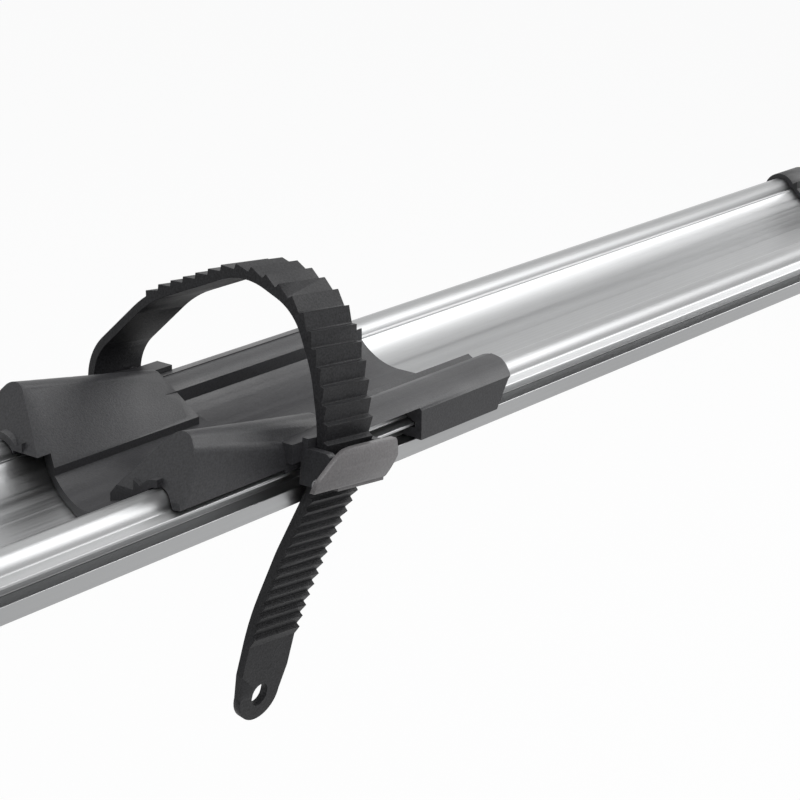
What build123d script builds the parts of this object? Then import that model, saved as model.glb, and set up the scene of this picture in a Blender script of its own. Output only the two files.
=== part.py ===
import os
from math import cos, radians, sin, sqrt, tan

from build123d import *

os.makedirs("parts", exist_ok=True)

# Roof mounted bike carrier. X runs along the tray towards the rear of the car,
# Y across it and Z up. The origin is the centre of the tray's flat underside.

# Shared clearances
slide_gap = 0.3
running_gap = 0.05
seat_gap = 0.1
overrun = 1.0

# Tray extrusion
tray_length = 1450.0
tray_half_width = 33.0
slot_bottom = 4.2
slot_top = 7.9
slot_depth = 4.5
ridge_top = 8.6
bulge_y = 26.2
bulge_z = 9.0
bulge_radius = 4.5
shoulder_rise = 0.7
lip_y = 20.8
lip_z = 10.5
lip_step = 0.5
lip_overlap = 1.0
floor_top = 2.8
floor_half_width = 5.0
rail_bore_radius = 2.2
rail_bore_inset = 0.4

# End caps
cap_wall = 1.6
cap_plate = 3.0
cap_collar = 12.0
peg_length = 9.0

# Wheel positions, counted in from the tray's ends
rear_wheel_inset = 290.0
front_wheel_inset = 170.0
rear_wheel_x = tray_length / 2 - rear_wheel_inset
front_wheel_x = front_wheel_inset - tray_length / 2


def tray_section(grown=0):
    """The tray's outline without its bores, grown by a clearance or a wall."""
    foot_y = bulge_y + sqrt(bulge_radius**2 - shoulder_rise**2)
    inner_y = lip_y + lip_overlap
    inner_z = bulge_z + sqrt(bulge_radius**2 - (bulge_y - inner_y) ** 2)
    with BuildSketch() as section:
        with BuildLine():
            Polyline(
                (0, floor_top),
                (0, 0),
                (tray_half_width, 0),
                (tray_half_width, slot_bottom),
                (tray_half_width - slot_depth, slot_bottom),
                (tray_half_width - slot_depth, slot_top),
                (tray_half_width, slot_top),
                (tray_half_width, ridge_top),
                (foot_y, bulge_z + shoulder_rise),
            )
            ThreePointArc(
                (foot_y, bulge_z + shoulder_rise),
                (bulge_y, bulge_z + bulge_radius),
                (inner_y, inner_z),
            )
            Polyline((inner_y, inner_z), (lip_y, lip_z), (lip_y, lip_z - lip_step))
            TangentArc(
                (floor_half_width, floor_top),
                (lip_y, lip_z - lip_step),
                tangent=(1, 0),
            )
            Line((floor_half_width, floor_top), (0, floor_top))
        make_face()
        mirror(about=Plane.YZ)
        if grown:
            offset(amount=grown, kind=Kind.INTERSECTION, mode=Mode.REPLACE)
    return section.sketch


# Tray
with BuildPart() as tray:
    with BuildSketch(Plane.YZ.offset(-tray_length / 2)):
        add(tray_section())
        with Locations(
            (bulge_y - rail_bore_inset, bulge_z),
            (-bulge_y + rail_bore_inset, bulge_z),
        ):
            Circle(rail_bore_radius, mode=Mode.SUBTRACT)
    extrude(amount=tray_length)
tray.part.label = "tray"
export_step(tray.part, "parts/tray.step")

# End caps, one plugged into each end of the tray
for cap_name, side in (("end_cap_rear", 1), ("end_cap_front", -1)):
    cap_x = side * tray_length / 2
    with BuildPart() as end_cap:
        with BuildSketch(Plane.YZ.offset(cap_x)):
            add(tray_section(cap_wall))
        extrude(amount=side * cap_plate)
        with BuildSketch(Plane.YZ.offset(cap_x)):
            add(tray_section(cap_wall))
        extrude(amount=-side * cap_collar)
        with BuildSketch(Plane.YZ.offset(cap_x)):
            add(tray_section(seat_gap))
        extrude(amount=-side * (cap_collar + overrun), mode=Mode.SUBTRACT)
        with BuildSketch(Plane.YZ.offset(cap_x)):
            with Locations(
                (bulge_y - rail_bore_inset, bulge_z),
                (-bulge_y + rail_bore_inset, bulge_z),
            ):
                Circle(rail_bore_radius - seat_gap)
        extrude(amount=-side * peg_length)
    end_cap.part.label = cap_name
    export_step(end_cap.part, "parts/" + cap_name + ".step")

# Wheel holder: a moulding that straddles both rails. Its places along X are
# counted from the point where the wheel touches the tray.
skin_wall = 1.9
skin_edge_z = 11.6
skin_start = -96.0
skin_end = 31.0
cover_start = -60.0
cover_reach = 35.4
cover_top = 15.9
cover_rim = 0.8
cover_middle_share = 0.3
lobe_start = -10.7
lobe_bottom = 4.5
lobe_cut_length = 9.4
lobe_cut_height = 10.8
window_top = 12.9
window_inner_y = 30.0
hook_bottom = 4.8
hook_top = 7.4
hook_inner = 29.3
tongue_start = -109.0
tongue_end = -40.0
tongue_top = 10.8
tongue_half_width = 20.4
tongue_skew = 21.0
groove_radius = 42.0
groove_depth = 5.3

# Side blocks that cradle the tyre and fall towards the strap
block_end = -43.0
block_foot_y = 33.4
block_foot_z = 10.0
block_shoulder_y = 32.6
block_top_y = 28.0
block_inner_y = 11.0
block_shoulder_z = 24.5
block_top_z = 29.1
block_inner_z = 9.0
block_shoulder_fall = 12.5
block_top_fall = 9.3
block_low_z = 5.0
block_round = 4.0
block_lean = 9.0

# Strap, standing in the plane that holds the wheel's axle and the strap
strap_x = -47.0
strap_tilt = 6.1
strap_width = 17.0
strap_core = 2.2
tooth_height = 1.3
tooth_pitch = 4.4
tooth_root = 0.6
tooth_rise_share = 0.2
tooth_start = 36.0
tail_tooth_height = 1.1
tail_tooth_pitch = 3.3
tail_teeth = 17
strap_inner_y = 37.6
anchor_z = 7.0
tail_plain = 22.7
tail_shoulder_share = 0.62
tail_tip_radius = 7.2
tail_hole_radius = 2.7
tail_hole_length = 6.2

# Corners of the strap's middle line, from its far neck over the tyre to its
# tail: Y across, then upwards, and the bend at each
far_neck_z = 22.0
far_neck_bend = 13.0
far_arch_y = 20.0
far_arch_z = 39.8
far_arch_bend = 30.0
crown_y = 11.0
crown_z = 52.6
crown_bend = 20.0
shoulder_y = 28.5
shoulder_z = 46.0
shoulder_bend = 16.0
flank_y = 35.4
flank_z = 32.0
flank_bend = 40.0
near_neck_z = 18.0
near_neck_bend = 40.0
buckle_z = 8.0
buckle_bend = 12.0
knee_y = 28.2
knee_z = -15.0
knee_bend = 60.0
tail_bow_y = 21.0
tail_bow_z = -34.0
tail_bow_bend = 80.0
tail_end_y = 15.3
tail_end_z = -63.3

# Strap anchor and buckle
anchor_radius = 1.8
anchor_lap = 3.4
pin_lap = 0.4
head_sink = 0.9
anchor_eye_radius = 3.6
anchor_bottom = 2.0
anchor_top = 15.0
plate_bottom = 11.3
plate_ease = 0.45
boss_start = -60.0
boss_end = -33.0
boss_inner_y = 30.0
boss_top_z = 16.5
cheek_wall = 2.4
cheek_top = 14.0
cheek_lap = 1.6
tab_wall = 1.4
tab_pin_y = 42.6
tab_pin_z = 6.5
tab_pin_radius = 0.9
tab_barrel_radius = 1.6
tab_left = 18.2
tab_right = 11.6
tab_top_z = 15.3
tab_foot_z = 6.0
tab_bow = 0.8
tab_waist_x = 15.9
tab_waist_z = 10.2
tab_shoulder_x = 10.6
tab_shoulder_z = 13.8
tab_top_x = 3.0
tab_side_z = 11.0
tab_foot_x = 8.2
tab_round = 0.8
pawl_bottom = 8.9
pawl_top = 12.0
pawl_rise = 1.6
spring_wire_radius = 0.25
spring_coil_radius = 1.3
spring_pitch = 1.0
spring_length = 2.1
spring_start = 11.6
coil_steps = 120
coil_skip = 30
screw_radius = 1.3
screw_head_radius = 2.3
screw_length = 5.0
screw_z = 14.0
screw_offset = 5.0


def block_section(shoulder_drop, top_drop):
    """One section of the near side block, its shoulder and top lowered by the drops."""
    with BuildSketch() as section:
        with BuildLine():
            Polyline(
                (-block_foot_y, block_foot_z),
                (-block_shoulder_y, block_shoulder_z - shoulder_drop),
                (-block_top_y, block_top_z - top_drop),
                (-block_inner_y, block_inner_z),
                (-block_inner_y, block_low_z),
                (-bulge_y, block_low_z),
                (-bulge_y, bulge_z),
                (-block_shoulder_y + overrun, bulge_z + shoulder_rise),
                close=True,
            )
        make_face()
        fillet(section.vertices().sort_by(Axis.Y)[-2:], block_round)
    return section.sketch


def strap_line():
    """The strap's middle line, seen in its own plane: Y across, then upwards."""
    neck_y = strap_inner_y + strap_core / 2
    points = [
        (neck_y, anchor_z),
        (neck_y, far_neck_z),
        (far_arch_y, far_arch_z),
        (-crown_y, crown_z),
        (-shoulder_y, shoulder_z),
        (-flank_y, flank_z),
        (-neck_y, near_neck_z),
        (-neck_y, buckle_z),
        (-knee_y, knee_z),
        (-tail_bow_y, tail_bow_z),
        (-tail_end_y, tail_end_z),
    ]
    radii = [
        far_neck_bend,
        far_arch_bend,
        crown_bend,
        shoulder_bend,
        flank_bend,
        near_neck_bend,
        buckle_bend,
        knee_bend,
        tail_bow_bend,
    ]
    with BuildLine() as middle:
        FilletPolyline(*points, radius=radii)
    return middle.wires()[0]


def cover_section(low_z):
    """The near side cover over the rail, down to low_z on its outer face."""
    with BuildSketch() as section:
        with BuildLine():
            middle_y = (bulge_y + cover_reach) / 2
            middle_z = cover_top - (cover_top - skin_edge_z - cover_rim) * cover_middle_share
            ThreePointArc(
                (-bulge_y, cover_top),
                (-middle_y, middle_z),
                (-cover_reach, skin_edge_z + cover_rim),
            )
            Polyline(
                (-cover_reach, skin_edge_z + cover_rim),
                (-cover_reach, low_z),
                (-tray_half_width - slide_gap, low_z),
                (-tray_half_width - slide_gap, bulge_z),
                (-bulge_y, bulge_z),
                (-bulge_y, cover_top),
            )
        make_face()
        add(tray_section(slide_gap), mode=Mode.SUBTRACT)
    return section.sketch


def strap_plane(wheel_x):
    """The plane of the strap's loop: local X is across the tray, local Y upwards."""
    lean = radians(strap_tilt)
    return Plane(
        origin=(wheel_x + strap_x, 0, 0),
        x_dir=(0, 1, 0),
        z_dir=(cos(lean), 0, -sin(lean)),
    )


def tooth_face(middle, start, pitch, height):
    """One saw tooth of the strap, its steep side towards the start of its pitch."""
    corners = []
    for reach, rise in (
        (0, strap_core / 2 - tooth_root),
        (pitch * tooth_rise_share, strap_core / 2 + height),
        (pitch, strap_core / 2),
        (pitch, strap_core / 2 - tooth_root),
    ):
        place = middle.position_at(start + reach, position_mode=PositionMode.LENGTH)
        heading = middle.tangent_at(start + reach, position_mode=PositionMode.LENGTH)
        corners.append((place.X + heading.Y * rise, place.Y - heading.X * rise))
    with BuildSketch() as tooth:
        with BuildLine():
            Polyline(*corners, close=True)
        make_face()
    return tooth.sketch


# Wheel holders, one under each wheel
skin_length = skin_end - skin_start
lobe_length = skin_end - lobe_start
cheek_inner = strap_width / 2 + slide_gap
cheek_reach = tab_pin_y + cheek_lap
tab_inner_y = cheek_reach + slide_gap
strap_outer_y = strap_inner_y + strap_core + tooth_height
anchor_y = strap_inner_y + strap_core / 2
plate_outer_y = strap_inner_y - plate_ease
plate_top = screw_z + screw_head_radius + seat_gap
head_seat = screw_head_radius + seat_gap
for end, wheel_x in (("rear", rear_wheel_x), ("front", front_wheel_x)):
    loop_plane = strap_plane(wheel_x)

    # Saddle
    with BuildPart() as saddle:
        with BuildSketch(Plane.YZ.offset(wheel_x + skin_start)):
            add(tray_section(slide_gap + skin_wall))
            add(tray_section(slide_gap), mode=Mode.SUBTRACT)
            Rectangle(
                2 * bulge_y,
                tray_half_width,
                align=(Align.CENTER, Align.MIN),
                mode=Mode.INTERSECT,
            )
            Rectangle(
                2 * bulge_y,
                2 * floor_top,
                align=(Align.CENTER, Align.CENTER),
                mode=Mode.SUBTRACT,
            )
        extrude(amount=skin_length)
        with BuildSketch(Plane.YZ.offset(wheel_x + cover_start)):
            add(cover_section(skin_edge_z))
        extrude(amount=skin_end - cover_start)
        with BuildSketch(Plane.XZ.offset(window_inner_y)):
            with Locations((wheel_x + boss_end, window_top)):
                Rectangle(
                    lobe_start - boss_end,
                    window_top,
                    align=(Align.MIN, Align.MAX),
                )
        extrude(amount=cover_reach, mode=Mode.SUBTRACT)
        with BuildSketch(Plane.YZ.offset(wheel_x + lobe_start)):
            add(cover_section(lobe_bottom))
            with Locations((-tray_half_width - slide_gap, hook_bottom)):
                Rectangle(
                    tray_half_width + slide_gap - hook_inner,
                    hook_top - hook_bottom,
                    align=(Align.MIN, Align.MIN),
                )
        extrude(amount=lobe_length)
        with BuildSketch(Plane.XZ.offset(bulge_y)):
            with BuildLine():
                Polyline(
                    (wheel_x + skin_end, lobe_bottom + lobe_cut_height),
                    (wheel_x + skin_end + overrun, lobe_bottom + lobe_cut_height),
                    (wheel_x + skin_end + overrun, lobe_bottom - overrun),
                    (wheel_x + skin_end - lobe_cut_length, lobe_bottom - overrun),
                    (wheel_x + skin_end - lobe_cut_length, lobe_bottom),
                    (wheel_x + skin_end - lobe_cut_length / 2, skin_edge_z),
                    close=True,
                )
            make_face()
        extrude(amount=cover_reach, mode=Mode.SUBTRACT)
        with BuildSketch(Plane.XZ.offset(boss_inner_y)):
            with Locations((wheel_x + boss_start, skin_edge_z)):
                Rectangle(
                    boss_end - boss_start,
                    boss_top_z - skin_edge_z,
                    align=(Align.MIN, Align.MIN),
                )
        extrude(amount=cover_reach - boss_inner_y)
        with BuildSketch(Plane.YZ.offset(wheel_x + skin_start)):
            add(block_section(0, 0))
        with BuildSketch(Plane.YZ.offset(wheel_x + block_end)):
            add(block_section(block_shoulder_fall, block_top_fall))
        loft()
        with BuildSketch(Plane.XZ):
            with BuildLine():
                Polyline(
                    (wheel_x + skin_start - overrun, skin_edge_z),
                    (wheel_x + skin_start, skin_edge_z),
                    (wheel_x + skin_start + block_lean, block_top_z),
                    (wheel_x + skin_start - overrun, block_top_z),
                    close=True,
                )
            make_face()
        extrude(amount=cover_reach, mode=Mode.SUBTRACT)
        mirror(about=Plane.XZ)
        with BuildSketch(Plane.YZ.offset(wheel_x + tongue_start)):
            Rectangle(
                2 * tongue_half_width,
                tongue_top,
                align=(Align.CENTER, Align.MIN),
            )
            with Locations((0, tongue_top + groove_radius - groove_depth)):
                Circle(groove_radius, mode=Mode.SUBTRACT)
        extrude(amount=tongue_end - tongue_start)
        with BuildSketch():
            with BuildLine():
                Polyline(
                    (wheel_x + tongue_start - overrun, -tongue_half_width),
                    (wheel_x + tongue_start, -tongue_half_width),
                    (wheel_x + tongue_start + tongue_skew, tongue_half_width),
                    (wheel_x + tongue_start + tongue_skew, lip_y + lip_overlap),
                    (wheel_x + tongue_start - overrun, lip_y + lip_overlap),
                    close=True,
                )
            make_face()
        extrude(amount=tongue_top + overrun, mode=Mode.SUBTRACT)
        with BuildSketch(Plane.YZ.offset(wheel_x + tongue_start - overrun)):
            add(tray_section(slide_gap))
        extrude(amount=skin_end - tongue_start + 2 * overrun, mode=Mode.SUBTRACT)
        screw_x = wheel_x + strap_x + screw_z * tan(radians(strap_tilt))
        for face_side in (-1, 1):
            with BuildSketch(Plane.XZ.offset(-face_side * cover_reach)):
                with Locations(
                    (screw_x - screw_offset, screw_z), (screw_x + screw_offset, screw_z)
                ):
                    Circle(screw_radius)
            extrude(amount=face_side * screw_length, mode=Mode.SUBTRACT)
    saddle.part.label = end + "_saddle"
    export_step(saddle.part, "parts/" + end + "_saddle.step")

    # Strap
    middle = strap_line()
    tip_place = middle.position_at(middle.length, position_mode=PositionMode.LENGTH)
    tip_heading = middle.tangent_at(middle.length, position_mode=PositionMode.LENGTH)
    first_tail_tooth = middle.length - tail_plain - tail_teeth * tail_tooth_pitch
    tooth_count = int((first_tail_tooth - tooth_start) / tooth_pitch)
    first_tooth = first_tail_tooth - tooth_count * tooth_pitch
    with BuildPart() as strap:
        with BuildSketch(loop_plane):
            trace(middle, line_width=strap_core)
            with Locations((strap_inner_y + strap_core / 2, anchor_z)):
                Circle(anchor_eye_radius)
            for number in range(tooth_count):
                start = first_tooth + number * tooth_pitch
                add(tooth_face(middle, start, tooth_pitch, tooth_height))
            for number in range(tail_teeth):
                start = first_tail_tooth + number * tail_tooth_pitch
                add(tooth_face(middle, start, tail_tooth_pitch, tail_tooth_height))
            with Locations((strap_inner_y + strap_core / 2, anchor_z)):
                Circle(anchor_radius + running_gap, mode=Mode.SUBTRACT)
        extrude(amount=strap_width / 2, both=True)
        tip_plane = Plane(
            origin=loop_plane.from_local_coords((tip_place.X, tip_place.Y, 0)),
            x_dir=-loop_plane.z_dir,
            z_dir=loop_plane.from_local_coords(Vector(tip_heading.Y, -tip_heading.X, 0))
            - loop_plane.origin,
        )
        with BuildSketch(tip_plane):
            Rectangle(strap_width + 2 * overrun, 2 * tail_plain)
            with BuildLine():
                Polyline(
                    (-strap_width / 2, -tail_plain),
                    (-strap_width / 2, -tail_plain * tail_shoulder_share),
                    (-tail_tip_radius, -tail_tip_radius),
                )
                ThreePointArc(
                    (-tail_tip_radius, -tail_tip_radius),
                    (0, 0),
                    (tail_tip_radius, -tail_tip_radius),
                )
                Polyline(
                    (tail_tip_radius, -tail_tip_radius),
                    (strap_width / 2, -tail_plain * tail_shoulder_share),
                    (strap_width / 2, -tail_plain),
                    (-strap_width / 2, -tail_plain),
                )
            make_face(mode=Mode.SUBTRACT)
            with Locations((0, -tail_tip_radius)):
                SlotOverall(tail_hole_length, 2 * tail_hole_radius, rotation=90)
        extrude(amount=strap_core, both=True, mode=Mode.SUBTRACT)
    strap.part.label = end + "_strap"
    export_step(strap.part, "parts/" + end + "_strap.step")

    # Strap anchor and buckle frame: each a plate with two cheeks and a cross pin
    for frame_name, face_side, low, high, plate_low, pin_y, pin_z, pin_radius, lap in (
        (
            "anchor",
            1,
            anchor_bottom,
            anchor_top,
            anchor_z + anchor_eye_radius + slide_gap,
            anchor_y,
            anchor_z,
            anchor_radius,
            anchor_lap,
        ),
        (
            "buckle",
            -1,
            tab_pin_z - cheek_lap,
            cheek_top,
            plate_bottom,
            tab_pin_y,
            tab_pin_z,
            tab_pin_radius,
            cheek_lap,
        ),
    ):
        with BuildPart() as frame:
            for cheek_side in (-1, 1):
                with BuildSketch(loop_plane.offset(cheek_side * cheek_inner)) as cheek:
                    with Locations((face_side * (cover_reach + pin_y + lap) / 2, (low + high) / 2)):
                        Rectangle(pin_y + lap - cover_reach, high - low)
                    outer_corners = cheek.vertices().sort_by(Axis.X)
                    fillet(outer_corners[2:] if face_side == 1 else outer_corners[:2], cheek_lap)
                    with Locations((face_side * pin_y, pin_z)):
                        Circle(pin_radius + running_gap, mode=Mode.SUBTRACT)
                extrude(amount=cheek_side * cheek_wall)
            with BuildSketch(loop_plane):
                with Locations(
                    (face_side * (cover_reach + plate_outer_y) / 2, (plate_low + plate_top) / 2)
                ):
                    Rectangle(plate_outer_y - cover_reach, plate_top - plate_low)
            extrude(amount=cheek_inner + cheek_wall, both=True)
            for sunk_radius, sunk_from in ((screw_radius + seat_gap, 0), (head_seat, head_sink)):
                with BuildSketch(Plane.XZ.offset(-face_side * (cover_reach + sunk_from))):
                    with Locations(
                        (screw_x - screw_offset, screw_z), (screw_x + screw_offset, screw_z)
                    ):
                        Circle(sunk_radius)
                extrude(amount=-face_side * plate_outer_y, mode=Mode.SUBTRACT)
        frame.part.label = end + "_" + frame_name + "_frame"
        export_step(frame.part, "parts/" + end + "_" + frame_name + "_frame.step")

        with BuildPart() as cross_pin:
            with BuildSketch(loop_plane):
                with Locations((face_side * pin_y, pin_z)):
                    Circle(pin_radius)
            extrude(amount=cheek_inner + cheek_wall + pin_lap, both=True)
            if face_side == -1:
                with BuildSketch(loop_plane.offset(-cheek_inner - cheek_wall)):
                    with Locations((face_side * pin_y, pin_z)):
                        Circle(pin_radius)
                extrude(amount=cheek_inner + cheek_wall - spring_start - spring_length - pin_lap)
        cross_pin.part.label = end + "_" + frame_name + "_pin"
        export_step(cross_pin.part, "parts/" + end + "_" + frame_name + "_pin.step")

        with BuildPart() as frame_screws:
            for screw_radius_now, screw_start, screw_stop in (
                (screw_radius - seat_gap, cover_reach - screw_length + seat_gap, plate_outer_y),
                (screw_head_radius, cover_reach + head_sink, plate_outer_y),
            ):
                with BuildSketch(Plane.XZ.offset(-face_side * screw_start)):
                    with Locations(
                        (screw_x - screw_offset, screw_z), (screw_x + screw_offset, screw_z)
                    ):
                        Circle(screw_radius_now)
                extrude(amount=-face_side * (screw_stop - screw_start))
        frame_screws.part.label = end + "_" + frame_name + "_screws"
        export_step(frame_screws.part, "parts/" + end + "_" + frame_name + "_screws.step")

    # Buckle tab, a bowed lever with its barrel and the pawl that holds the teeth
    with BuildPart() as tab:
        with BuildSketch(loop_plane):
            with BuildLine():
                tab_middle_z = (tab_foot_z + tab_top_z) / 2
                ThreePointArc(
                    (-tab_inner_y, tab_foot_z),
                    (-tab_inner_y - tab_bow, tab_middle_z),
                    (-tab_inner_y, tab_top_z),
                )
                Line((-tab_inner_y, tab_top_z), (-tab_inner_y - tab_wall, tab_top_z))
                ThreePointArc(
                    (-tab_inner_y - tab_wall, tab_top_z),
                    (-tab_inner_y - tab_wall - tab_bow, tab_middle_z),
                    (-tab_inner_y - tab_wall, tab_foot_z),
                )
                Line((-tab_inner_y - tab_wall, tab_foot_z), (-tab_inner_y, tab_foot_z))
            make_face()
        extrude(amount=tab_left, both=True)
        front_plane = Plane(
            origin=loop_plane.origin,
            x_dir=loop_plane.z_dir,
            z_dir=(0, -1, 0),
        )
        with BuildSketch(front_plane.offset(tab_inner_y - overrun)) as outline:
            with BuildLine():
                Spline(
                    (-tab_left, tab_foot_z),
                    (-tab_waist_x, tab_waist_z),
                    (-tab_shoulder_x, tab_shoulder_z),
                    (-tab_top_x, tab_top_z),
                    tangents=((0, 1), (1, 0)),
                )
                Polyline(
                    (-tab_top_x, tab_top_z),
                    (tab_right, tab_top_z),
                    (tab_right, tab_side_z),
                    (tab_foot_x, tab_foot_z),
                    (-tab_left, tab_foot_z),
                )
            make_face()
            fillet(outline.vertices().sort_by(Axis.X)[-3:], tab_round)
        extrude(amount=tab_wall + tab_bow + 2 * overrun, mode=Mode.INTERSECT)
        with BuildSketch(loop_plane):
            with Locations((-tab_pin_y, tab_pin_z)):
                Circle(tab_barrel_radius)
            with BuildLine():
                Polyline(
                    (-tab_pin_y, tab_pin_z + tab_barrel_radius),
                    (-tab_pin_y, pawl_bottom),
                    (-strap_outer_y - slide_gap, pawl_top - pawl_rise),
                    (-strap_outer_y - slide_gap, pawl_top),
                    (-tab_inner_y - tab_wall / 2, pawl_top),
                    (-tab_inner_y - tab_wall / 2, tab_pin_z - tab_barrel_radius),
                    (-tab_pin_y, tab_pin_z - tab_barrel_radius),
                    close=True,
                )
            make_face()
            with Locations((-tab_pin_y, tab_pin_z)):
                Circle(tab_pin_radius + running_gap, mode=Mode.SUBTRACT)
        extrude(amount=cheek_inner - slide_gap, both=True)
    tab.part.label = end + "_buckle_tab"
    export_step(tab.part, "parts/" + end + "_buckle_tab.step")

    # Tab spring, coiled round the pin's free end outside the front cheek
    coil_base = loop_plane.from_local_coords((-tab_pin_y, tab_pin_z, -spring_start))
    with BuildPart() as tab_spring:
        with BuildLine() as coil:
            Helix(
                pitch=spring_pitch,
                height=spring_length,
                radius=spring_coil_radius,
                center=coil_base,
                direction=-loop_plane.z_dir,
            )
        with BuildSketch(Plane(origin=coil.line @ 0, z_dir=coil.line % 0)):
            Circle(spring_wire_radius)
        sweep(path=coil.line, is_frenet=True)
    turn_points = [coil.line @ (step / coil_steps) for step in range(coil_steps + 1)]
    least_gap = min(
        (near - far).length - 2 * spring_wire_radius
        for index, near in enumerate(turn_points)
        for far in turn_points[index + coil_skip :]
    )
    print(end, "tab spring least gap to itself", round(least_gap, 2), "mm")
    tab_spring.part.label = end + "_tab_spring"
    export_step(tab_spring.part, "parts/" + end + "_tab_spring.step")


# Feet that carry the tray on two roof bars, and their clamps
front_bar_inset = 295.0
rear_bar_inset = 545.0
front_bar_x = front_bar_inset - tray_length / 2
rear_bar_x = tray_length / 2 - rear_bar_inset
front_foot_half_width = 155.0
rear_foot_half_width = 95.0
front_clamp_inset = 33.0
rear_clamp_inset = 29.0
front_clamp_y = front_foot_half_width - front_clamp_inset
rear_clamp_y = rear_foot_half_width - rear_clamp_inset
foot_height = 20.0
foot_front = 32.0
foot_back = 40.0
foot_end_share = 0.55
foot_taper_share = 0.6
foot_corner = 8.0
pad_wall = 2.0
pad_half_length = 16.0
bar_width = 32.0
bar_height = 22.0
clamp_bolt_x = 26.0
clamp_bolt_radius = 3.0
clamp_width = 26.0
claw_wall = 6.0
claw_hook = 5.0
claw_hook_height = 16.0
claw_boss_back = 8.0
claw_boss_top = 25.0
claw_round = 2.5
bolt_tail = 10.0
knob_radius = 16.0
knob_height = 17.0
knob_stem_radius = 8.0
knob_stem_height = 3.0
knob_lobes = 6
knob_scallop_radius = 5.5
knob_scallop_share = 1.18
knob_edge = 1.5
clip_length = 24.0
clip_reach = 15.0
clip_height = 6.5
clip_lip = 4.0
clip_screw_radius = 2.5
clip_head_radius = 4.5
clip_head_height = 2.8
clip_screw_depth = 14.0
clip_spacing = 44.0
clip_offset = 4.0
clip_seat = 3.2
track_hole_radius = 3.3
track_hole_y = 42.0


def lobed_knob(radius, height, lobes, scallop_radius, scallop_share, edge):
    """A knob with scooped finger grips, standing on its own origin along Z."""
    with BuildPart() as grip:
        with BuildSketch():
            Circle(radius)
            with PolarLocations(radius * scallop_share, lobes):
                Circle(scallop_radius, mode=Mode.SUBTRACT)
        extrude(amount=height)
        fillet(grip.faces().sort_by(Axis.Z)[-1].edges(), edge)
    return grip.part


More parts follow.
